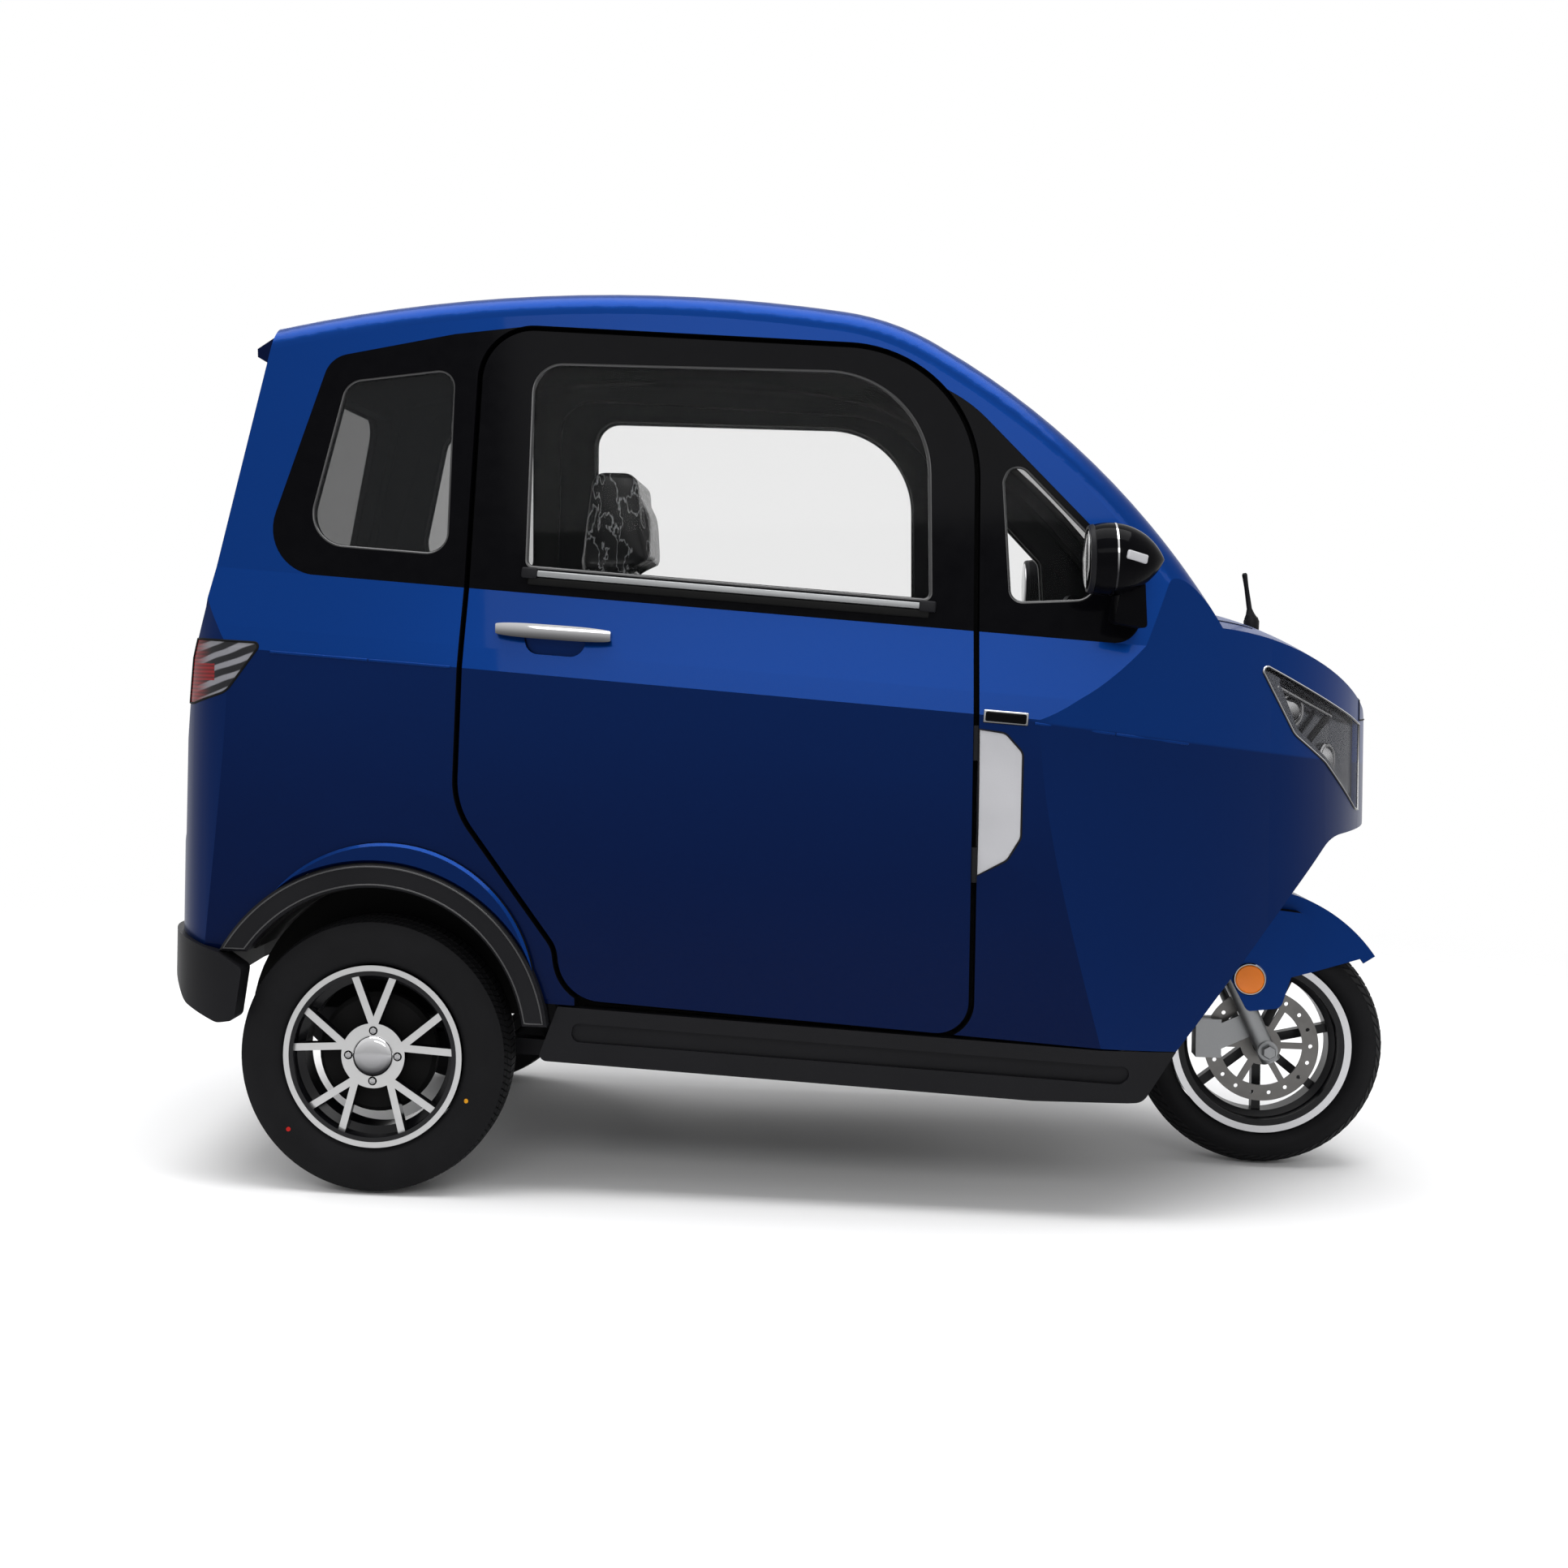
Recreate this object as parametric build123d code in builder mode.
"""Cabin scooter: an enclosed electric three-wheeler with one steered front wheel.

Frame: +X forward, +Y left, +Z up, millimetres, origin on the ground under the middle of the length.
"""
from build123d import *
import os
from math import asin, atan, cos, degrees, radians, sin

os.makedirs("parts", exist_ok=True)

# Wheels and stance
LENGTH = 2290.0
TAIL_OVERHANG = 410.0
FRONT_TYRE_R = 237.0
FRONT_TYRE_WIDTH = 120.0
FRONT_RIM_R = 170.0
FRONT_SPOKES = 7
FRONT_AXLE_R = 10.0
DISC_R = 108.0
REAR_TYRE_R = 247.0
REAR_TYRE_WIDTH = 135.0
REAR_RIM_R = 163.0
REAR_SPOKE_PAIRS = 5
STUB_R = 15.0
RUNNING_FIT = 0.05
FRONT_AXLE_X = LENGTH / 2 - FRONT_TYRE_R
REAR_AXLE_X = TAIL_OVERHANG - LENGTH / 2

# Body form, with half widths measured inwards from the widest line
BODY_HALF = 508.0
BELT_HALF = BODY_HALF - 34.0
ROOF_HALF = BODY_HALF - 116.0
PLAN_HALF = BODY_HALF + 4.0
REAR_WHEEL_Y = BODY_HALF - 70.5
ROOF_SECTION_Z = 1800.0
ROOF_TOP = 1658.0
CROWN_R = 2600.0
FALL = 0.072
SHOULDER_Z = 903.0
BAND_Z = 942.0
BELT_Z = 1046.0
ROOF_EDGE_R = 48.0
WALL = 38.0
GLASS_INSET = 9.0
GLASS_T = 5.0
BUMPER_PROUD = 12.0
TAIL_X = -LENGTH / 2 + BUMPER_PROUD
NOSE_X = FRONT_AXLE_X + 188.0
GAP = 5.0
SEAT_FIT = 0.3
JAMB_T = 22.0
JAMB_LAP = 16.0
JAMB_INNER_Y = BODY_HALF - 178.0

# Doors
DOOR_GAP = 10.0
DOOR_FRONT_X = FRONT_AXLE_X - 591.0
DOOR_REAR_X = REAR_AXLE_X + 149.0
DOOR_BOTTOM_Z = 322.0
DOOR_TOP_Z = 1562.0
HINGE_X = DOOR_FRONT_X + DOOR_GAP / 2
HINGE_Y = BODY_HALF - 2.0
HINGE_HEIGHTS = (620.0, 830.0)
HINGE_R = DOOR_GAP / 2 - 0.4
HINGE_LEAF = 60.0
HANDLE_REACH = 44.0
MIRROR_OUT = 48.0
MIRROR_Z = 1146.0
MIRROR_R = 56.0

# Wheel arches, sills and floor
ARCH_Z = 275.0
ARCH_R = 276.0
FLARE_WIDTH = 44.0
FLARE_Y = BODY_HALF + 7.0
FLOOR_Z = 262.0
FLOOR_HALF = BODY_HALF - 103.0
DECK_Z = 575.0
SHEET = 12.0
FLARE_DEPTH = 45.0
BULGE_R = 272.0
BULGE_AHEAD = 23.0
BULGE_RISE = 84.0
BULGE_PROUD = 5.0
GROOVE_DEPTH = 34.0
POCKET_DEPTH = 23.0
FLARE_FRONT_Z = 314.0
FLARE_REAR_Z = 430.0
LAMP_INNER_Y = BODY_HALF - 178.0
LINER_T = 4.0
LINER_INNER_Y = REAR_WHEEL_Y - 87.5
HOOD_SPLIT_Z = 872.0
LAMP_RIM = 9.0
LAMP_BACK = 6.0
RAIL_Y = REAR_WHEEL_Y - 202.5
RAIL_W = 40.0
RAIL_H = 46.0

# Steering: axis rakes back as it rises, the axle sits ahead of it
RAKE = 25.0
AXLE_LEAD = 35.0
LEG_Y = 88.0
LEG_R = 18.0
CROWN_S = 385.0
CROWN_T = 25.0
CROWN_RIM = 4.0
COLUMN_R = 16.0
HEAD_LOW_S = 420.0
HEAD_HIGH_S = 590.0
HEAD_R = 29.0
BAR_S = 868.0
BAR_HALF = 285.0
BAR_R = 11.0
GRIP_R = 16.0

# Tyre and rim sections
BEAD_R = 153.0
BEAD_FIT = 0.3
FLANGE_T = 7.0
REAR_BEAD_HALF = 50.0
FACE_T = 20.0
REAR_HUB_R = 58.0
FORK_R = 52.0
PAIR_SPREAD = 14.0
SPOKE_W = 13.0
LUG_CIRCLE_R = 45.0
LUGS = 4
LUG_HOLE_R = 8.0
FRONT_BEAD_HALF = 42.0
FRONT_HUB_R = 32.0
FRONT_HUB_HALF = 46.0
FRONT_SPOKE_W = 17.0
FRONT_SPOKE_T = 20.0
DISC_T = 4.0
DISC_BAND = 30.0
DISC_ARMS = 6

# Rear axle and its links
RAIL_LOW_Z = FLOOR_Z - SHEET / 2 - RAIL_H / 2
RAIL_HIGH_Z = DECK_Z - SHEET / 2 - RAIL_H / 2
AXLE_TUBE_R = 30.0
AXLE_TUBE_HALF = REAR_WHEEL_Y - 102.5
STUB_END_Y = REAR_WHEEL_Y + 36.5
ARM_Y = REAR_WHEEL_Y - 141.5
ARM_R = 15.0
ARM_EYE_R = 44.0
ARM_EYE_W = 34.0
PIVOT_X = REAR_AXLE_X + 340.0
STRUT_R = 27.0

# Fork fittings
AXLE_END_Y = LEG_Y + LEG_R + 6
LEG_LOW_S = -24.0
GRIP_L = 118.0
FENDER_R = 289.0
FENDER_BACK = 35.0
FENDER_RISE = 20.0
FENDER_T = 5.0
FENDER_HALF = 73.0
FENDER_LIP = 26.0
FENDER_FROM = 34.0
FENDER_TO = 135.0
SKIRT_Y = LEG_Y + LEG_R + SEAT_FIT
CALIPER_X = FRONT_AXLE_X - 102.0
CALIPER_Z = 250.0

# Arches, tail and seats
SPOILER_HALF = ROOF_HALF - 30.0
ARCH_CENTRE = (REAR_AXLE_X, ARCH_Z)
FLARE_R = ARCH_R + FLARE_WIDTH
SEAT_Z = FLOOR_Z + SHEET / 2 + 184 + SEAT_FIT
BENCH_Z = DECK_Z + SHEET / 2 + SEAT_FIT

RAKE_UP = Vector(-sin(radians(RAKE)), 0, cos(radians(RAKE)))
RAKE_AHEAD = Vector(cos(radians(RAKE)), 0, sin(radians(RAKE)))
FRONT_AXLE = Vector(FRONT_AXLE_X, 0, FRONT_TYRE_R)
STEER = Plane(origin=FRONT_AXLE - RAKE_AHEAD * AXLE_LEAD, x_dir=RAKE_AHEAD, z_dir=RAKE_UP)

RIGHT = (0, -1, 0)
FAR = 2000.0


def aft(x):
    """Station measured forwards from the rear axle."""
    return REAR_AXLE_X + x


def fore(x):
    """Station measured forwards from the front axle."""
    return FRONT_AXLE_X + x


def falling(z, x):
    """Height at x of a body line that passes z at the middle and falls towards the nose."""
    return z - FALL * x


def belt(x):
    return falling(BELT_Z, x)


def sill_top(x):
    return DOOR_BOTTOM_Z + 0.057 * (DOOR_FRONT_X - x)


def region(corners, plane=Plane.XZ, grow=0.0):
    """Face on a plane from rows of (across, up, corner radius)."""
    with BuildSketch(plane) as area:
        with BuildLine():
            FilletPolyline(
                *[(across, up) for across, up, radius in corners],
                radius=[radius for across, up, radius in corners],
                close=True,
            )
        make_face()
        if grow:
            offset(amount=grow)
    return area.sketch


def save(piece, name):
    piece.label = name
    export_step(piece, f"parts/{name}.step")


def save_sides(piece, name):
    """Write a right-hand piece and its mirrored left-hand twin as two nodes."""
    save(piece, f"{name}_right")
    with BuildPart() as twin:
        mirror(piece, about=Plane.XZ)
    save(twin.part, f"{name}_left")


def save_pair(piece, name):
    """Write a right-hand piece and its mirrored twin as two solids of one node."""
    with BuildPart() as pair:
        add(piece)
        mirror(piece, about=Plane.XZ)
    save(pair.part, name)


# Body lines in side view, rows of (x, z, corner radius)
DOOR = [
    (DOOR_REAR_X, 700, 140),
    (aft(330), 455, 60),
    (aft(342), sill_top(aft(342)), 78),
    (DOOR_FRONT_X, DOOR_BOTTOM_Z, 55),
    (DOOR_FRONT_X, 1514, 235),
    (aft(172), DOOR_TOP_Z, 90),
]
DOOR_WINDOW = [
    (aft(258), belt(aft(258)) + 45, 15),
    (aft(260), 1500, 55),
    (fore(-670), 1482, 190),
    (fore(-662), belt(fore(-662)) + 45, 15),
]
QUARTER_TRIM = [
    (aft(235), belt(aft(235)), 0),
    (aft(-235), belt(aft(-235)), 88),
    (aft(-114), 1508, 50),
    (aft(115), 1551, 0),
    (aft(257), 1566, 0),
]
QUARTER_WINDOW = [
    (aft(118), 1145, 40),
    (aft(-151), 1164, 65),
    (aft(-84), 1465, 38),
    (aft(119), 1489, 32),
]
CORNER_TRIM = [
    (fore(-678), belt(fore(-678)), 0),
    (fore(-290), belt(fore(-290)), 45),
    (fore(-333), 1150, 100),
    (fore(-596), 1425, 250),
    (fore(-758), 1518, 0),
    (fore(-758), 1400, 0),
]
CORNER_WINDOW = [
    (fore(-530), 1071, 25),
    (fore(-377), 1078, 35),
    (fore(-386), 1190, 25),
    (fore(-524), 1335, 25),
    (fore(-543), 1288, 20),
]
UPPER = [
    (aft(-565), belt(aft(-565)), 0),
    (fore(-308), belt(fore(-308)), 60),
    (fore(-208), 1046, 0),
    (fore(-170), 1092, 0),
    (fore(-8), 1092, 0),
    (fore(-8), 1800, 0),
    (aft(-565), 1800, 0),
]
FRONT = [
    (fore(-708), belt(fore(-708)), 0),
    (fore(-308), belt(fore(-308)), 60),
    (fore(-208), 1046, 0),
    (fore(-170), 1092, 0),
    (fore(292), 1092, 0),
    (fore(292), 690, 0),
    (fore(152), 672, 30),
    (fore(68), 664, 60),
    (fore(-20), 562, 0),
    (fore(-232), 300, 0),
    (fore(-708), sill_top(fore(-708)), 0),
]
BUMPER_JOIN = [(aft(-275), 428, 10), (aft(-565), 498, 0)]
REAR = [
    (aft(-565), belt(aft(-565)), 0),
    (aft(363), belt(aft(363)), 0),
    (aft(363), 350, 0),
    (aft(307), 352, 0),
    (aft(135), 340, 0),
    (aft(-232), 402, 0),
    *BUMPER_JOIN,
]
SILL = [
    (aft(295), 247, 12),
    (aft(333), 347, 0),
    (fore(-232), 299, 0),
    (fore(-290), 214, 25),
    (fore(-478), 211, 0),
]
SILL_GROOVE = [
    (aft(362), 318, 12),
    (aft(354), 284, 15),
    (fore(-330), 246, 16),
    (fore(-288), 276, 14),
]
POCKET = [
    (aft(262), 1010, 4),
    (aft(270), 972, 26),
    (aft(368), 966, 26),
    (aft(376), 1004, 4),
]
LAMP_BOWL = [
    (fore(-52), 957, 6),
    (fore(112), 868, 24),
    (fore(292), 766, 0),
    (fore(292), 722, 0),
    (fore(140), 717, 14),
    (fore(56), 808, 34),
    (fore(-6), 858, 30),
]
BUMPER = [
    *reversed(BUMPER_JOIN),
    (aft(-232), 402, 12),
    (aft(-245), 308, 14),
    (aft(-280), 302, 30),
    (aft(-357), 330, 40),
    (aft(-415), 405, 40),
    (aft(-565), 430, 0),
]
TAIL_LAMP = [
    (aft(-565), 1000, 0),
    (aft(-210), 984, 8),
    (aft(-275), 895, 40),
    (aft(-350), 872, 20),
    (aft(-565), 872, 0),
]
HEADLAMP = [
    (fore(-91), 980, 8),
    (fore(114), 880, 30),
    (fore(292), 780, 0),
    (fore(292), 712, 0),
    (fore(134), 706, 20),
    (fore(50), 800, 40),
    (fore(-16), 850, 40),
]
VENT = [
    (DOOR_FRONT_X - 20, 858, 0),
    (fore(-536), 848, 18),
    (fore(-506), 815, 18),
    (fore(-507), 668, 22),
    (fore(-530), 629, 22),
    (DOOR_FRONT_X - 20, 585, 0),
]

# Seen from above, rows of (x, y, corner radius)
HOOD = [
    (fore(-248), 163 - BODY_HALF, 0),
    (fore(-166), 163 - BODY_HALF, 0),
    (fore(-82), 206 - BODY_HALF, 40),
    (fore(122), 336 - BODY_HALF, 60),
    (fore(292), 388 - BODY_HALF, 0),
    (fore(292), BODY_HALF - 388, 0),
    (fore(122), BODY_HALF - 336, 60),
    (fore(-82), BODY_HALF - 206, 40),
    (fore(-166), BODY_HALF - 163, 0),
    (fore(-248), BODY_HALF - 163, 0),
]

# Seen from the front, rows of (y, z, corner radius)
SCREEN = [
    (10 - ROOF_HALF, 1060, 40),
    (52 - ROOF_HALF, 1562, 60),
    (ROOF_HALF - 52, 1562, 60),
    (ROOF_HALF - 10, 1060, 40),
]
BACKLIGHT = [
    (20 - ROOF_HALF, 1135, 60),
    (52 - ROOF_HALF, 1490, 60),
    (ROOF_HALF - 52, 1490, 60),
    (ROOF_HALF - 20, 1135, 60),
]


# Side profile on the centre line, rows of (x, z, inward x, inward z) for a form moved inwards
ROOF_REAR = (aft(-220), 1598, 1.1, -1.0)
ROOF_MID = (aft(335), ROOF_TOP, 0.0, -1.0)
ROOF_FRONT = (fore(-824), 1626, -0.1, -1.0)
SCREEN_TOP = (fore(-646), 1560, -0.55, -0.83)
SCREEN_MID = (fore(-388), 1366, -0.68, -0.73)
SCREEN_FOOT = (fore(-158), 1080, -0.6, -0.88)
HOOD_MID = (fore(-3), 1026, -0.45, -0.89)
HOOD_FRONT = (NOSE_X - 26, 895, -1.0, -0.7)
NOSE_MID = (NOSE_X, 795, -1.0, 0.0)
NOSE_LIP = (NOSE_X - 12, 690, -1.0, 0.0)
UNDERSIDE_AND_TAIL = [
    (fore(102), 560, -1.0, 0.0),
    (fore(102), 100, -1.0, 0.0),
    (TAIL_X, 100, 1.0, 0.0),
    (TAIL_X, 620, 1.0, 0.0),
    (TAIL_X + 26, 690, 1.0, 0.0),
    (TAIL_X + 28, 860, 1.0, 0.0),
    (TAIL_X + 46, 1010, 1.0, 0.0),
    (TAIL_X + 76, 1105, 1.0, 0.0),
]


def plan(inset):
    """Outline of the body seen from above, moved inwards."""
    with BuildSketch(Plane.XY) as outline:
        with BuildLine():
            tail = Line((TAIL_X + inset, 0), (TAIL_X + 8 + inset, 150 - PLAN_HALF))
            corner = TangentArc(
                tail @ 1, (TAIL_X + 158 + 0.2 * inset, inset - PLAN_HALF), tangent=tail % 1
            )
            side = Line(corner @ 1, (fore(-563), inset - PLAN_HALF))
            cheek = ThreePointArc(
                side @ 1,
                (fore(-283) - 0.25 * inset, 0.97 * inset + 42 - PLAN_HALF),
                (fore(-63) - 0.6 * inset, 0.8 * inset + 140 - PLAN_HALF),
            )
            face = ThreePointArc(
                cheek @ 1, (fore(114) - 0.85 * inset, 0.55 * inset + 297 - PLAN_HALF), (NOSE_X - inset, 0)
            )
            Line(face @ 1, tail @ 0)
        make_face()
        mirror(about=Plane.XZ)
    return outline.sketch


def crowned(corners, fan):
    """Solid from a side profile swept across the body along the roof's crown, fan degrees each way."""
    axis_z = ROOF_TOP - CROWN_R
    plane = Plane(
        origin=(0, 0, axis_z),
        x_dir=(1, 0, 0),
        z_dir=(0, -cos(radians(fan)), sin(radians(fan))),
    )
    with BuildPart() as lip:
        with BuildSketch(plane):
            with BuildLine():
                Polyline(*[(x, z - axis_z) for x, z in corners], close=True)
            make_face()
        revolve(axis=Axis((0, 0, axis_z), (1, 0, 0)), revolution_arc=2 * fan)
    return lip.part


def body_form(inset):
    """Body form moved inwards: crowned side profile, falling cross-section and plan in one solid."""
    fan = 50.0
    axis_z = ROOF_TOP - CROWN_R
    fan_plane = Plane(
        origin=(0, 0, axis_z),
        x_dir=(1, 0, 0),
        z_dir=(0, -cos(radians(fan)), sin(radians(fan))),
    )
    start_x = aft(-565)

    def at(row):
        x, z, inward_x, inward_z = row
        return (x + inward_x * inset, z + inward_z * inset - axis_z)

    def to(y, z):
        return (inset - y, falling(z, start_x))

    with BuildPart() as form:
        with BuildSketch(fan_plane):
            with BuildLine():
                roof = ThreePointArc(at(ROOF_REAR), at(ROOF_MID), at(ROOF_FRONT))
                bend = TangentArc(roof @ 1, at(SCREEN_TOP), tangent=roof % 1)
                screen = ThreePointArc(bend @ 1, at(SCREEN_MID), at(SCREEN_FOOT))
                hood_line = ThreePointArc(screen @ 1, at(HOOD_MID), at(HOOD_FRONT))
                nose = ThreePointArc(hood_line @ 1, at(NOSE_MID), at(NOSE_LIP))
                Polyline(nose @ 1, *[at(row) for row in UNDERSIDE_AND_TAIL], roof @ 0)
            make_face()
        revolve(axis=Axis((0, 0, axis_z), (1, 0, 0)), revolution_arc=2 * fan)
        with BuildSketch(Plane.YZ.offset(start_x)):
            with BuildLine():
                foot = Polyline((0, falling(60, start_x)), to(BODY_HALF - 56, 60), to(BODY_HALF - 18, 330))
                flank = ThreePointArc(foot @ 1, to(BODY_HALF - 4, 640), to(BODY_HALF, SHOULDER_Z))
                Polyline(
                    flank @ 1,
                    to(BODY_HALF - 8, BAND_Z),
                    to(BELT_HALF, BELT_Z),
                    to(ROOF_HALF, ROOF_SECTION_Z),
                    (0, falling(ROOF_SECTION_Z, start_x)),
                    foot @ 0,
                )
            make_face()
            mirror(about=Plane.YZ)
        tilt = atan(FALL)
        extrude(amount=1.2 * LENGTH, dir=(cos(tilt), 0, -sin(tilt)), mode=Mode.INTERSECT)
        extrude(plan(inset), amount=ROOF_SECTION_Z, mode=Mode.INTERSECT)
        roof_edges = form.edges().filter_by(
            lambda edge: edge.center().Z > 1115
            and abs(edge.center().Y) > ROOF_HALF - 142
            and edge.center().X > aft(-215)
        )
        fillet(roof_edges, radius=max(ROOF_EDGE_R - inset, 12))
    return form.part


outer = body_form(0)
lens_back = body_form(GLASS_INSET)
inner = body_form(WALL)
lining = body_form(WALL + SEAT_FIT)

with BuildPart() as wall:
    add(outer)
    add(inner, mode=Mode.SUBTRACT)

with BuildPart() as half_wall:
    add(wall.part)
    split(bisect_by=Plane.XZ, keep=Keep.TOP)

with BuildPart() as glazing:
    add(lens_back)
    add(body_form(GLASS_INSET + GLASS_T), mode=Mode.SUBTRACT)

BELT_PLANE = Plane(origin=(0, 0, BELT_Z), x_dir=(1, 0, -FALL), z_dir=(FALL, 0, 1))
SCREEN_FOOT_X = SCREEN_FOOT[0] + 2
door_hole = region(DOOR, grow=DOOR_GAP)
screen_hole = region(SCREEN, Plane.YZ, grow=SEAT_FIT)
backlight_hole = region(BACKLIGHT, Plane.YZ, grow=SEAT_FIT)
hood_hole = region(HOOD, Plane.XY, grow=SEAT_FIT)

# Doors: painted lower leaf, black window frame, glass and handle
with BuildPart() as door_panel:
    add(half_wall.part)
    extrude(region(DOOR), amount=FAR, dir=RIGHT, mode=Mode.INTERSECT)
    split(bisect_by=BELT_PLANE, keep=Keep.BOTTOM)
    extrude(region(POCKET, Plane.XZ.offset(BODY_HALF - POCKET_DEPTH)), amount=FAR, mode=Mode.SUBTRACT)
save_sides(door_panel.part, "door_panel")

with BuildPart() as door_frame:
    add(half_wall.part)
    extrude(region(DOOR), amount=FAR, dir=RIGHT, mode=Mode.INTERSECT)
    split(bisect_by=BELT_PLANE, keep=Keep.TOP)
    extrude(region(DOOR_WINDOW), amount=FAR, dir=RIGHT, mode=Mode.SUBTRACT)
save_sides(door_frame.part, "door_frame")

# Side windows: rows of (node, outline, way of saving both sides)
for node, window, save_both in (
    ("door_glass", DOOR_WINDOW, save_sides),
    ("quarter_glass", QUARTER_WINDOW, save_pair),
    ("corner_glass", CORNER_WINDOW, save_pair),
):
    with BuildPart() as pane:
        add(glazing.part)
        extrude(region(window, grow=-SEAT_FIT), amount=FAR, dir=RIGHT, mode=Mode.INTERSECT)
    save_both(pane.part, node)

# Black window surrounds behind and ahead of the doors: rows of (node, outline, window)
for node, area, window in (
    ("quarter_trim", QUARTER_TRIM, QUARTER_WINDOW),
    ("corner_trim", CORNER_TRIM, CORNER_WINDOW),
):
    with BuildPart() as surround:
        add(half_wall.part)
        extrude(region(area), amount=FAR, dir=RIGHT, mode=Mode.INTERSECT)
        extrude(door_hole, amount=FAR, dir=RIGHT, mode=Mode.SUBTRACT)
        extrude(region(window), amount=FAR, dir=RIGHT, mode=Mode.SUBTRACT)
        extrude(screen_hole, amount=SCREEN_FOOT_X, dir=(1, 0, 0), mode=Mode.SUBTRACT)
    save_pair(surround.part, node)

# Jambs behind the door edges, carried by the body inside the openings
with BuildPart() as relief:
    extrude(door_hole, amount=FAR, dir=RIGHT)
    add(body_form(WALL + GAP), mode=Mode.SUBTRACT)

with BuildPart() as door_jambs:
    extrude(region(DOOR, Plane.XZ.offset(JAMB_INNER_Y), grow=DOOR_GAP + JAMB_LAP), amount=FAR)
    extrude(region(DOOR, grow=-JAMB_LAP), amount=FAR, dir=RIGHT, mode=Mode.SUBTRACT)
    add(lining, mode=Mode.INTERSECT)
    add(body_form(WALL + JAMB_T), mode=Mode.SUBTRACT)
    add(relief.part, mode=Mode.SUBTRACT)
save_pair(door_jambs.part, "door_jambs")

# Roof with its pillars and the lip over the rear window
SPOILER = [
    (aft(-130), 1590),
    (aft(-215), 1602),
    (aft(-279), 1562),
    (aft(-279), 1547),
    (aft(-236), 1522),
    (aft(-212), 1499),
]
with BuildPart() as roof:
    add(wall.part)
    extrude(region(UPPER), amount=FAR, both=True, mode=Mode.INTERSECT)
    add(crowned(SPOILER, degrees(asin(SPOILER_HALF / CROWN_R))))
    extrude(door_hole, amount=FAR, both=True, mode=Mode.SUBTRACT)
    for area in (QUARTER_TRIM, CORNER_TRIM):
        extrude(region(area, grow=SEAT_FIT), amount=FAR, both=True, mode=Mode.SUBTRACT)
    extrude(screen_hole, amount=SCREEN_FOOT_X, dir=(1, 0, 0), mode=Mode.SUBTRACT)
    extrude(backlight_hole, amount=FAR, dir=(-1, 0, 0), mode=Mode.SUBTRACT)
save(roof.part, "roof")

with BuildPart() as windscreen:
    add(glazing.part)
    extrude(region(SCREEN, Plane.YZ), amount=SCREEN_FOOT_X, dir=(1, 0, 0), mode=Mode.INTERSECT)
save(windscreen.part, "windscreen")

with BuildPart() as rear_window:
    add(glazing.part)
    extrude(region(BACKLIGHT, Plane.YZ), amount=FAR, dir=(-1, 0, 0), mode=Mode.INTERSECT)
save(rear_window.part, "rear_window")

# Rear body round the tail, with its arches and lamp pockets
with BuildPart() as arch_bulge:
    with BuildSketch(Plane.XZ.offset(BODY_HALF - WALL)):
        with Locations((REAR_AXLE_X + BULGE_AHEAD, ARCH_Z + BULGE_RISE)):
            Circle(BULGE_R)
        with Locations(ARCH_CENTRE):
            Circle(FLARE_R + SEAT_FIT, mode=Mode.SUBTRACT)
    extrude(amount=WALL + BULGE_PROUD)
    chamfer(arch_bulge.faces().sort_by(Axis.Y)[0].edges(), length=BULGE_PROUD)

with BuildPart() as rear_body:
    add(wall.part)
    extrude(region(REAR), amount=FAR, both=True, mode=Mode.INTERSECT)
    extrude(door_hole, amount=FAR, both=True, mode=Mode.SUBTRACT)
    with BuildSketch(Plane.XZ):
        with Locations(ARCH_CENTRE):
            Circle(FLARE_R + SEAT_FIT)
    extrude(amount=FAR, both=True, mode=Mode.SUBTRACT)
    add(arch_bulge.part)
    mirror(arch_bulge.part, about=Plane.XZ)
    for start in (LAMP_INNER_Y, -LAMP_INNER_Y):
        extrude(
            region(TAIL_LAMP, Plane.XZ.offset(start)),
            amount=FAR if start > 0 else -FAR,
            mode=Mode.SUBTRACT,
        )
save(rear_body.part, "rear_body")

with BuildPart() as tail_lamp:
    add(half_wall.part)
    lamp_area = region(TAIL_LAMP, Plane.XZ.offset(LAMP_INNER_Y), grow=-SEAT_FIT)
    extrude(lamp_area, amount=FAR, mode=Mode.INTERSECT)
save_pair(tail_lamp.part, "tail_lamps")

with BuildPart() as arch_flare:
    with BuildSketch(Plane.XZ.offset(FLARE_Y - FLARE_DEPTH)):
        with Locations(ARCH_CENTRE):
            Circle(FLARE_R)
            Circle(ARCH_R, mode=Mode.SUBTRACT)
        with Locations((REAR_AXLE_X - FAR / 2, FLARE_REAR_Z - FAR / 2)):
            Rectangle(FAR, FAR, mode=Mode.SUBTRACT)
        with Locations((REAR_AXLE_X + FAR / 2, FLARE_FRONT_Z - FAR / 2)):
            Rectangle(FAR, FAR, mode=Mode.SUBTRACT)
    extrude(amount=FLARE_DEPTH)
    chamfer(arch_flare.faces().sort_by(Axis.Y)[0].edges(), length=6)
save_pair(arch_flare.part, "arch_flares")

with BuildPart() as wheel_liners:
    with BuildSketch(Plane.XZ.offset(LINER_INNER_Y)):
        with Locations(ARCH_CENTRE):
            Circle(ARCH_R)
            Circle(ARCH_R - LINER_T, mode=Mode.SUBTRACT)
        with Locations((REAR_AXLE_X, FLARE_REAR_Z - FAR / 2)):
            Rectangle(FAR, FAR, mode=Mode.SUBTRACT)
    extrude(amount=FLARE_Y - FLARE_DEPTH - LINER_INNER_Y)
save_pair(wheel_liners.part, "wheel_liners")

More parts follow.
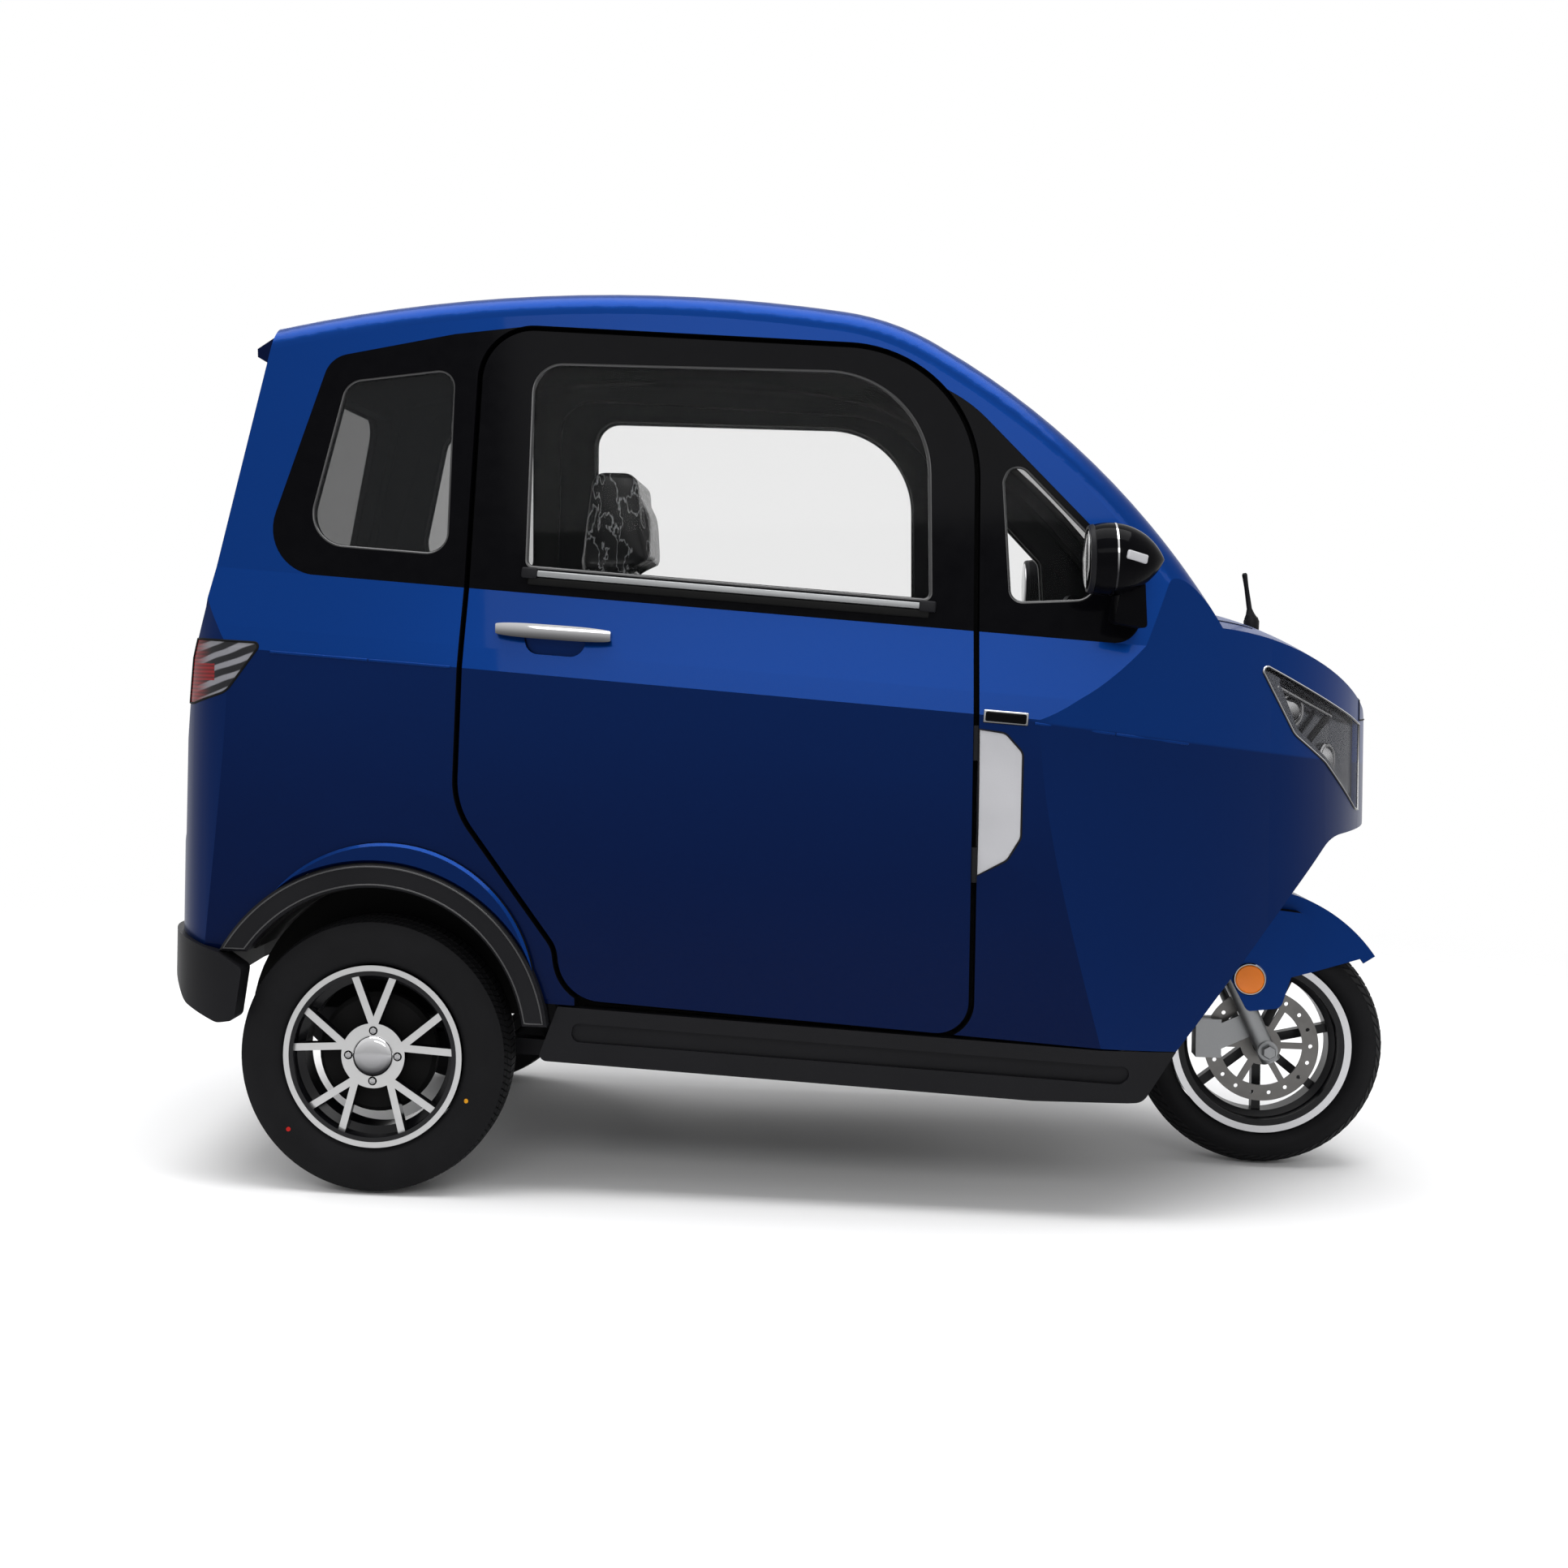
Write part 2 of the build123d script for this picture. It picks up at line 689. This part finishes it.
with BuildPart() as rear_bumper:
    extrude(plan(-BUMPER_PROUD), amount=FAR)
    extrude(plan(WALL), amount=FAR, mode=Mode.SUBTRACT)
    extrude(region(BUMPER, grow=-SEAT_FIT), amount=FAR, both=True, mode=Mode.INTERSECT)
save(rear_bumper.part, "rear_bumper")

# Front: side panels, bonnet, nose, lamps and the vent panel ahead of each door
with BuildPart() as front_panel:
    add(half_wall.part)
    extrude(region(FRONT), amount=FAR, dir=RIGHT, mode=Mode.INTERSECT)
    extrude(door_hole, amount=FAR, dir=RIGHT, mode=Mode.SUBTRACT)
    extrude(screen_hole, amount=SCREEN_FOOT_X, dir=(1, 0, 0), mode=Mode.SUBTRACT)
    extrude(hood_hole, amount=FAR, mode=Mode.SUBTRACT)
    for area in (HEADLAMP, VENT):
        extrude(region(area, grow=SEAT_FIT), amount=FAR, dir=RIGHT, mode=Mode.SUBTRACT)
save_pair(front_panel.part, "front_panels")

with BuildPart() as vent_panel:
    add(half_wall.part)
    extrude(region(VENT), amount=FAR, dir=RIGHT, mode=Mode.INTERSECT)
    extrude(door_hole, amount=FAR, dir=RIGHT, mode=Mode.SUBTRACT)
save_pair(vent_panel.part, "vent_panels")

# Rows of (node, part of the split that is kept)
for node, keep in (("hood", Keep.TOP), ("nose_panel", Keep.BOTTOM)):
    with BuildPart() as cover:
        add(wall.part)
        extrude(region(FRONT), amount=FAR, both=True, mode=Mode.INTERSECT)
        extrude(region(HOOD, Plane.XY), amount=FAR, mode=Mode.INTERSECT)
        extrude(screen_hole, amount=SCREEN_FOOT_X, dir=(1, 0, 0), mode=Mode.SUBTRACT)
        split(bisect_by=Plane.XY.offset(HOOD_SPLIT_Z), keep=keep)
    save(cover.part, node)

with BuildPart() as lamp_bowl:
    extrude(region(LAMP_BOWL), amount=FAR, dir=RIGHT)
    extrude(region(HOOD, Plane.XY, grow=LAMP_RIM), amount=FAR, mode=Mode.SUBTRACT)
    add(body_form(WALL - LAMP_BACK), mode=Mode.SUBTRACT)

with BuildPart() as headlamp_lens:
    extrude(region(HEADLAMP), amount=FAR, dir=RIGHT)
    extrude(hood_hole, amount=FAR, mode=Mode.SUBTRACT)
    add(outer, mode=Mode.INTERSECT)
    add(lens_back, mode=Mode.SUBTRACT)
save_pair(headlamp_lens.part, "headlamp_lenses")

with BuildPart() as headlamp_housing:
    extrude(region(HEADLAMP), amount=FAR, dir=RIGHT)
    extrude(hood_hole, amount=FAR, mode=Mode.SUBTRACT)
    add(lens_back, mode=Mode.INTERSECT)
    add(inner, mode=Mode.SUBTRACT)
    add(lamp_bowl.part, mode=Mode.SUBTRACT)
save_pair(headlamp_housing.part, "headlamp_housings")

with BuildPart() as sill:
    add(half_wall.part)
    extrude(region(SILL), amount=FAR, dir=RIGHT, mode=Mode.INTERSECT)
    extrude(region(SILL_GROOVE, Plane.XZ.offset(BODY_HALF - GROOVE_DEPTH)), amount=FAR, mode=Mode.SUBTRACT)
save_pair(sill.part, "sills")


# Floor: load deck over the rear axle, footwell, bulkhead and the front wheel's roof in one sheet
with BuildPart() as floor_pan:
    with BuildSketch(Plane.XZ):
        with BuildLine():
            FilletPolyline(
                (aft(-350), DECK_Z),
                (aft(295), DECK_Z),
                (aft(330), FLOOR_Z),
                (fore(-333), FLOOR_Z),
                (fore(-263), 655),
                (fore(132), 702),
                radius=30,
            )
        trace(line_width=SHEET)
    extrude(amount=FLOOR_HALF, both=True)
    add(lining, mode=Mode.INTERSECT)
    with BuildSketch(STEER):
        Circle(HEAD_R + SEAT_FIT)
    extrude(amount=HEAD_HIGH_S, mode=Mode.SUBTRACT)
save(floor_pan.part, "floor_pan")

# Chassis: two kicked-up rails joined by cross-members, rows of (x, z) for each cross-member
CROSS_MEMBERS = [
    (fore(-388), RAIL_LOW_Z),
    (60, RAIL_LOW_Z),
    (aft(355), RAIL_LOW_Z),
    (aft(135), RAIL_HIGH_Z),
    (aft(-315), RAIL_HIGH_Z),
]
with BuildPart() as frame_rails:
    with BuildSketch(Plane.XZ.offset(RAIL_Y - RAIL_W / 2)):
        with BuildLine():
            FilletPolyline(
                (fore(-348), RAIL_LOW_Z),
                (aft(303), RAIL_LOW_Z),
                (aft(173), RAIL_HIGH_Z),
                (aft(-345), RAIL_HIGH_Z),
                radius=50,
            )
        trace(line_width=RAIL_H)
    extrude(amount=RAIL_W)
save_pair(frame_rails.part, "frame_rails")

with BuildPart() as frame_cross_members:
    with Locations(*[(x, 0, z) for x, z in CROSS_MEMBERS]):
        Box(RAIL_W, 2 * RAIL_Y - RAIL_W, RAIL_H)
save(frame_cross_members.part, "frame_cross_members")

# Head tube on the bulkhead, with the bore that the steering column turns in
with BuildPart() as head_tube:
    with BuildSketch(STEER.offset(HEAD_LOW_S)):
        Circle(HEAD_R)
    extrude(amount=HEAD_HIGH_S - HEAD_LOW_S)
    with BuildSketch(Plane.XZ):
        with BuildLine():
            Polyline(
                (fore(-296), 520),
                (fore(-273), 664),
                (fore(-240), 669),
                (fore(-260), 735),
                (fore(-308), 690),
                close=True,
            )
        make_face()
    extrude(amount=12, both=True)
    with BuildSketch(STEER.offset(HEAD_LOW_S)):
        Circle(COLUMN_R + RUNNING_FIT)
    extrude(amount=HEAD_HIGH_S - HEAD_LOW_S, mode=Mode.SUBTRACT)
save(head_tube.part, "head_tube")

# Rear axle with differential and motor, its trailing arms and coil struts
axle_plane = Plane(origin=(REAR_AXLE_X, 0, REAR_TYRE_R), x_dir=(1, 0, 0), z_dir=(0, -1, 0))
with BuildPart() as rear_axle:
    # Rows of (radius, half length along the axle)
    for radius, half in ((AXLE_TUBE_R, AXLE_TUBE_HALF), (STUB_R, STUB_END_Y)):
        with BuildSketch(axle_plane):
            Circle(radius)
        extrude(amount=half, both=True)
    with BuildSketch(axle_plane):
        Circle(82)
        with Locations((-150, 12)):
            Circle(72)
        with Locations((-75, 6)):
            Rectangle(150, 120)
    extrude(amount=55, both=True)
    with BuildSketch(axle_plane.offset(55)):
        with Locations((-150, 12)):
            Circle(70)
    extrude(amount=120)
save(rear_axle.part, "rear_axle")

with BuildPart() as trailing_arms:
    arm_plane = Plane.XZ.offset(ARM_Y - ARM_EYE_W / 2)
    with BuildSketch(arm_plane):
        with Locations((REAR_AXLE_X, REAR_TYRE_R)):
            Circle(ARM_EYE_R)
        with Locations((PIVOT_X, RAIL_LOW_Z)):
            Circle(20)
        with BuildLine():
            Line((REAR_AXLE_X, REAR_TYRE_R), (PIVOT_X, RAIL_LOW_Z))
        trace(line_width=2 * ARM_R)
        with Locations((REAR_AXLE_X, REAR_TYRE_R)):
            Circle(AXLE_TUBE_R + SEAT_FIT, mode=Mode.SUBTRACT)
    extrude(amount=ARM_EYE_W)
    with BuildSketch(Plane.XZ.offset(RAIL_Y + RAIL_W / 2)):
        with Locations((PIVOT_X, RAIL_LOW_Z)):
            Circle(12)
    extrude(amount=ARM_Y - RAIL_Y - RAIL_W / 2)
save_pair(trailing_arms.part, "trailing_arms")

with BuildPart() as rear_struts:
    with BuildSketch(Plane.XY.offset(REAR_TYRE_R)):
        with Locations((REAR_AXLE_X, -RAIL_Y)):
            Circle(STRUT_R)
    extrude(amount=RAIL_HIGH_Z - RAIL_H / 2 - REAR_TYRE_R)
    with BuildSketch(axle_plane):
        Circle(AXLE_TUBE_R + SEAT_FIT)
    extrude(amount=AXLE_TUBE_HALF, mode=Mode.SUBTRACT)
save_pair(rear_struts.part, "rear_struts")


# Tyres: a crowned tread between bulged walls on the rim's bead seat


def tyre(plane, tread_r, width, bead_half, flange_r, shoulder_drop):
    """Tyre round a plane's normal, solid down to its bead seat."""
    with BuildPart() as ring:
        with BuildSketch(Plane(origin=plane.origin, x_dir=plane.x_dir, z_dir=plane.y_dir)):
            seat_r = BEAD_R + BEAD_FIT
            lip_r = flange_r + 2
            wall_r = lip_r + 0.42 * (tread_r - lip_r)
            shoulder_r = tread_r - shoulder_drop
            shoulder_y = 0.42 * width
            with BuildLine():
                seat = Polyline(
                    (lip_r, -bead_half), (seat_r, -bead_half), (seat_r, bead_half), (lip_r, bead_half)
                )
                left = ThreePointArc(seat @ 1, (wall_r, width / 2), (shoulder_r, shoulder_y))
                tread = ThreePointArc(left @ 1, (tread_r, 0), (shoulder_r, -shoulder_y))
                ThreePointArc(tread @ 1, (wall_r, -width / 2), seat @ 0)
            make_face()
        revolve(axis=Axis(plane.origin, plane.z_dir))
    return ring.part


def barrel(plane, flange_r, bead_half, flange_t, well_r):
    """Wheel rim without spokes: flanges, bead seats and a dropped well, round a plane's normal."""
    with BuildPart() as ring:
        with BuildSketch(Plane(origin=plane.origin, x_dir=plane.x_dir, z_dir=plane.y_dir)):
            edge = bead_half + flange_t
            with BuildLine():
                Polyline(
                    (flange_r, edge),
                    (flange_r, bead_half + BEAD_FIT),
                    (BEAD_R, bead_half + BEAD_FIT),
                    (BEAD_R, 0.55 * bead_half),
                    (well_r, 0.4 * bead_half),
                    (well_r, -0.4 * bead_half),
                    (BEAD_R, -0.55 * bead_half),
                    (BEAD_R, -bead_half - BEAD_FIT),
                    (flange_r, -bead_half - BEAD_FIT),
                    (flange_r, -edge),
                    (BEAD_R - 8, -edge),
                    (BEAD_R - 8, -0.6 * bead_half),
                    (well_r - 6, -0.45 * bead_half),
                    (well_r - 6, 0.45 * bead_half),
                    (BEAD_R - 8, 0.6 * bead_half),
                    (BEAD_R - 8, edge),
                    close=True,
                )
            make_face()
        revolve(axis=Axis(plane.origin, plane.z_dir))
    return ring.part


# Rear wheels: five pairs of spokes in a machined face
rear_wheel_plane = axle_plane.offset(REAR_WHEEL_Y)
rear_tyre = tyre(
    rear_wheel_plane, REAR_TYRE_R, REAR_TYRE_WIDTH, REAR_BEAD_HALF, REAR_RIM_R, shoulder_drop=7
)
save_sides(rear_tyre, "rear_tyre")

with BuildPart() as rear_rim:
    add(barrel(rear_wheel_plane, REAR_RIM_R, REAR_BEAD_HALF, FLANGE_T, 138))
    face_plane = rear_wheel_plane.offset(REAR_BEAD_HALF - FACE_T)
    with BuildSketch(face_plane):
        Circle(REAR_HUB_R)
        for pair in range(REAR_SPOKE_PAIRS):
            middle = 90 + 360 * pair / REAR_SPOKE_PAIRS
            for sign in (-1, 1):
                outer_end = middle + sign * PAIR_SPREAD
                with BuildLine():
                    Line(
                        (FORK_R * cos(radians(middle)), FORK_R * sin(radians(middle))),
                        (148 * cos(radians(outer_end)), 148 * sin(radians(outer_end))),
                    )
                trace(line_width=SPOKE_W)
    extrude(amount=FACE_T)
    with BuildSketch(rear_wheel_plane.offset(-40)):
        Circle(34)
    extrude(amount=40 + REAR_BEAD_HALF - FACE_T)
    with BuildSketch(face_plane):
        with PolarLocations(LUG_CIRCLE_R, LUGS, start_angle=90):
            Circle(LUG_HOLE_R)
    extrude(amount=FACE_T, mode=Mode.SUBTRACT)
    with BuildSketch(rear_wheel_plane.offset(-40)):
        Circle(STUB_R + RUNNING_FIT)
    extrude(amount=STUB_END_Y - REAR_WHEEL_Y + 40 + SEAT_FIT, mode=Mode.SUBTRACT)
save_sides(rear_rim.part, "rear_rim")

# Front wheel: cast spokes, drilled disc on the right
front_plane = Plane(origin=FRONT_AXLE, x_dir=(1, 0, 0), z_dir=(0, -1, 0))
front_tyre = tyre(
    front_plane, FRONT_TYRE_R, FRONT_TYRE_WIDTH, FRONT_BEAD_HALF, FRONT_RIM_R, shoulder_drop=22
)
save(front_tyre, "front_tyre")

with BuildPart() as front_rim:
    add(barrel(front_plane, FRONT_RIM_R, FRONT_BEAD_HALF, FLANGE_T, 140))
    with BuildSketch(front_plane):
        for spoke in range(FRONT_SPOKES):
            angle = radians(-90 + 360 * spoke / FRONT_SPOKES)
            with BuildLine():
                Line((20 * cos(angle), 20 * sin(angle)), (137 * cos(angle), 137 * sin(angle)))
            trace(line_width=FRONT_SPOKE_W)
    extrude(amount=FRONT_SPOKE_T / 2, both=True)
    with BuildSketch(front_plane):
        Circle(FRONT_HUB_R)
    extrude(amount=FRONT_HUB_HALF, both=True)
    with BuildSketch(front_plane):
        Circle(FRONT_AXLE_R + RUNNING_FIT)
    extrude(amount=FRONT_HUB_HALF, both=True, mode=Mode.SUBTRACT)
save(front_rim.part, "front_rim")

with BuildPart() as brake_disc:
    with BuildSketch(front_plane.offset(FRONT_HUB_HALF)):
        Circle(DISC_R)
        Circle(DISC_R - DISC_BAND, mode=Mode.SUBTRACT)
        with PolarLocations((DISC_R - DISC_BAND + FRONT_HUB_R) / 2, DISC_ARMS):
            Rectangle(DISC_R - DISC_BAND - FRONT_HUB_R + 24, 12)
        Circle(FRONT_HUB_R + 6)
        Circle(FRONT_AXLE_R + 6, mode=Mode.SUBTRACT)
        with PolarLocations(DISC_R - DISC_BAND / 2, 18):
            Circle(4, mode=Mode.SUBTRACT)
    extrude(amount=DISC_T)
save(brake_disc.part, "brake_disc")

# Steering: fork with column, axle, fender, caliper and handlebar
with BuildPart() as fork:
    for side in (-1, 1):
        with BuildSketch(STEER.offset(LEG_LOW_S)):
            with Locations((AXLE_LEAD, side * LEG_Y)):
                Circle(LEG_R)
        extrude(amount=CROWN_S - LEG_LOW_S)
    with BuildSketch(STEER.offset(CROWN_S)):
        Circle(HEAD_R)
        with Locations((AXLE_LEAD, LEG_Y), (AXLE_LEAD, -LEG_Y)):
            Circle(LEG_R + CROWN_RIM)
        make_hull()
    extrude(amount=CROWN_T)
    with BuildSketch(STEER.offset(CROWN_S)):
        Circle(COLUMN_R)
    extrude(amount=BAR_S - BAR_R - CROWN_S)
    with BuildSketch(front_plane):
        Circle(FRONT_AXLE_R)
    extrude(amount=AXLE_END_Y, both=True)
save(fork.part, "fork")

# Right half of the bar, rows of (ahead, outwards, up) from the steering axis
BAR_POINTS = [(0, 0, 0), (0, 100, 0), (-42, 150, 26), (-70, BAR_HALF, 26)]


def tube(start, end, radius):
    """Round bar between two points."""
    with BuildPart() as bar:
        with BuildSketch(Plane(origin=start, z_dir=end - start)):
            Circle(radius)
        extrude(amount=(end - start).length)
    return bar.part


with BuildPart() as handlebar:
    bar_plane = STEER.offset(BAR_S)
    for side in (-1, 1):
        spots = [bar_plane.from_local_coords((x, side * y, z)) for x, y, z in BAR_POINTS]
        for near, far in zip(spots, spots[1:]):
            add(tube(near, far, BAR_R))
            with Locations(near):
                Sphere(BAR_R)
        grip_start = spots[-1] + (spots[-2] - spots[-1]).normalized() * GRIP_L
        add(tube(grip_start, spots[-1], GRIP_R))
    with BuildSketch(STEER.offset(BAR_S - BAR_R)):
        Rectangle(40, 60)
    extrude(amount=2 * BAR_R + 4)
save(handlebar.part, "handlebar")

FENDER_FLANK = [
    (fore(225), 428, 0),
    (fore(94), 386, 30),
    (fore(42), 371, 30),
    (fore(3), 316, 12),
    (fore(-40), 313, 12),
    (fore(-112), 446, 40),
    (fore(-190), 486, 0),
    (fore(-240), 570, 0),
    (fore(225), 570, 0),
]
with BuildPart() as front_fender:
    start = radians(FENDER_FROM)
    ahead = Vector(cos(start), 0, sin(start))
    hoop = FRONT_AXLE + Vector(-FENDER_BACK, 0, FENDER_RISE)
    with BuildSketch(Plane(origin=hoop, x_dir=ahead, z_dir=(ahead.Z, 0, -ahead.X))):
        with Locations((FENDER_R - FENDER_T / 2, 0)):
            Rectangle(FENDER_T, 2 * FENDER_HALF)
        for side in (-1, 1):
            with Locations((FENDER_R - FENDER_LIP / 2, side * (FENDER_HALF - FENDER_T / 2))):
                Rectangle(FENDER_LIP, FENDER_T)
    revolve(axis=Axis(hoop, (0, -1, 0)), revolution_arc=FENDER_TO - FENDER_FROM)
    with BuildSketch(Plane.XZ.offset(FENDER_HALF - FENDER_T)):
        add(region(FENDER_FLANK, Plane.XY))
        with Locations((hoop.X, hoop.Z)):
            Circle(FENDER_R - 1, mode=Mode.INTERSECT)
    extrude(amount=FENDER_T)
    with BuildSketch(Plane.XZ.offset(FENDER_HALF)):
        with BuildLine():
            FilletPolyline(
                (fore(77), 500),
                (fore(22), 320),
                (fore(-40), 312),
                (fore(-138), 500),
                (fore(-118), 520),
                radius=[18, 18, 10, 10, 10],
                close=True,
            )
        make_face()
    extrude(amount=SKIRT_Y + FENDER_T - FENDER_HALF)
    mirror(about=Plane.XZ)
    for side in (-1, 1):
        with BuildSketch(STEER.offset(LEG_LOW_S)):
            with Locations((AXLE_LEAD, side * LEG_Y)):
                Rectangle(2 * LEG_R + 60, 2 * (SKIRT_Y - LEG_Y))
        extrude(amount=CROWN_S - LEG_LOW_S - 60, mode=Mode.SUBTRACT)
        with BuildSketch(STEER.offset(LEG_LOW_S)):
            with Locations((AXLE_LEAD, side * LEG_Y)):
                Circle(LEG_R + SEAT_FIT)
        extrude(amount=CROWN_S - LEG_LOW_S, mode=Mode.SUBTRACT)
save(front_fender.part, "front_fender")

with BuildPart() as brake_caliper:
    disc_middle = FRONT_HUB_HALF + DISC_T / 2
    with Locations((CALIPER_X, -disc_middle, CALIPER_Z)):
        Box(46, 44, 74)
        Box(46, DISC_T + 6, 80, mode=Mode.SUBTRACT)
    with Locations((CALIPER_X - 20, -disc_middle, CALIPER_Z)):
        Box(10, 44, 74)
    with BuildSketch(Plane.XZ.offset(LEG_Y - LEG_R - SEAT_FIT)):
        with BuildLine():
            Polyline((fore(-118), 262), (fore(-24), 306), (fore(-6), 266), (fore(-88), 226), close=True)
        make_face()
    extrude(amount=-6)
save(brake_caliper.part, "brake_caliper")

# Cabin: seats, battery box, dashboard
with BuildPart() as battery_box:
    with Locations((aft(715), 0, FLOOR_Z + SHEET / 2 + 92)):
        Box(420, 360, 184)
    fillet(battery_box.edges().filter_by(Axis.Z), radius=30)
save(battery_box.part, "battery_box")

with BuildPart() as driver_seat:
    with BuildSketch(Plane.XZ):
        with BuildLine():
            FilletPolyline(
                (aft(933), SEAT_Z),
                (aft(940), SEAT_Z + 95),
                (aft(530), SEAT_Z + 78),
                (aft(390), 1145),
                (aft(440), 1165),
                (aft(435), 1345),
                (aft(330), 1350),
                (aft(303), 1165),
                (aft(310), 1120),
                (aft(405), SEAT_Z),
                radius=[20, 40, 60, 20, 12, 35, 35, 12, 20, 40],
                close=True,
            )
        make_face()
    extrude(amount=225, both=True)
    with BuildSketch(Plane.YZ.offset(aft(235))):
        with BuildLine():
            FilletPolyline(
                (-130, 1148), (-225, 1130), (-225, 300), (-500, 300), (-500, 1500), (-130, 1500),
                radius=[20, 60, 0, 0, 0, 0], close=True,
            )
        make_face()
        mirror(about=Plane.YZ)
    extrude(amount=800, mode=Mode.SUBTRACT)
save(driver_seat.part, "driver_seat")

with BuildPart() as rear_bench:
    with BuildSketch(Plane.XZ):
        with BuildLine():
            FilletPolyline(
                (aft(215), BENCH_Z),
                (aft(223), BENCH_Z + 105),
                (aft(-115), BENCH_Z + 92),
                (aft(-170), 1095),
                (aft(-255), 1100),
                (aft(-250), BENCH_Z),
                radius=[15, 35, 50, 30, 30, 20],
                close=True,
            )
        make_face()
    extrude(amount=BODY_HALF - 108, both=True)
save(rear_bench.part, "rear_bench")

with BuildPart() as dashboard:
    with BuildSketch(Plane.XZ):
        with BuildLine():
            FilletPolyline(
                (fore(-306), 930),
                (fore(-173), 1005),
                (fore(-118), 985),
                (fore(-118), 705),
                (fore(-166), 684),
                (fore(-184), 684),
                radius=[20, 30, 30, 20, 0, 0],
                close=True,
            )
        make_face()
    extrude(amount=BODY_HALF, both=True)
    add(lining, mode=Mode.INTERSECT)
save(dashboard.part, "dashboard")

# Outside fittings: door handles, hinges, mirrors and wiper
with BuildPart() as door_handle:
    with BuildSketch(Plane.XZ.offset(BELT_HALF)):
        with BuildLine():
            FilletPolyline(
                (aft(215), 1028),
                (aft(420), 1016),
                (aft(420), 992),
                (aft(215), 1003),
                radius=9,
                close=True,
            )
        make_face()
    extrude(amount=HANDLE_REACH)
    add(outer, mode=Mode.SUBTRACT)
save_sides(door_handle.part, "door_handle")

with BuildPart() as door_hinges:
    for height in HINGE_HEIGHTS:
        with Locations((HINGE_X, -HINGE_Y, height)):
            Cylinder(HINGE_R, HINGE_LEAF)
        with Locations((HINGE_X + DOOR_GAP / 4, -HINGE_Y + 6, height)):
            Box(DOOR_GAP / 2, 12, HINGE_LEAF)
save_pair(door_hinges.part, "door_hinges")

with BuildPart() as mirrors:
    with BuildSketch(Plane.XZ.offset(BODY_HALF + MIRROR_OUT)):
        with BuildLine():
            back = Line((fore(-408), MIRROR_Z), (fore(-408), MIRROR_Z + MIRROR_R))
            dome = ThreePointArc(back @ 1, (fore(-332), MIRROR_Z + 0.94 * MIRROR_R), (fore(-282), MIRROR_Z))
            Line(dome @ 1, back @ 0)
        make_face()
    revolve(axis=Axis((0, -BODY_HALF - MIRROR_OUT, MIRROR_Z), (1, 0, 0)))
    with BuildSketch(Plane.XZ.offset(BODY_HALF - 128)):
        with BuildLine():
            FilletPolyline(
                (fore(-348), MIRROR_Z - 26),
                (fore(-363), 1040),
                (fore(-308), 1030),
                (fore(-313), MIRROR_Z - 26),
                radius=6,
                close=True,
            )
        make_face()
    extrude(amount=MIRROR_OUT + 128)
    add(outer, mode=Mode.SUBTRACT)
save_pair(mirrors.part, "mirrors")

with BuildPart() as wiper:
    with Locations((fore(-40), -100, 1040)):
        Box(30, 24, 40)
    with BuildSketch(Plane(origin=(fore(-40), -100, 1050), z_dir=(-0.15, 0, 1))):
        Circle(5)
    extrude(amount=100)
    add(outer, mode=Mode.SUBTRACT)
save(wiper.part, "wiper")
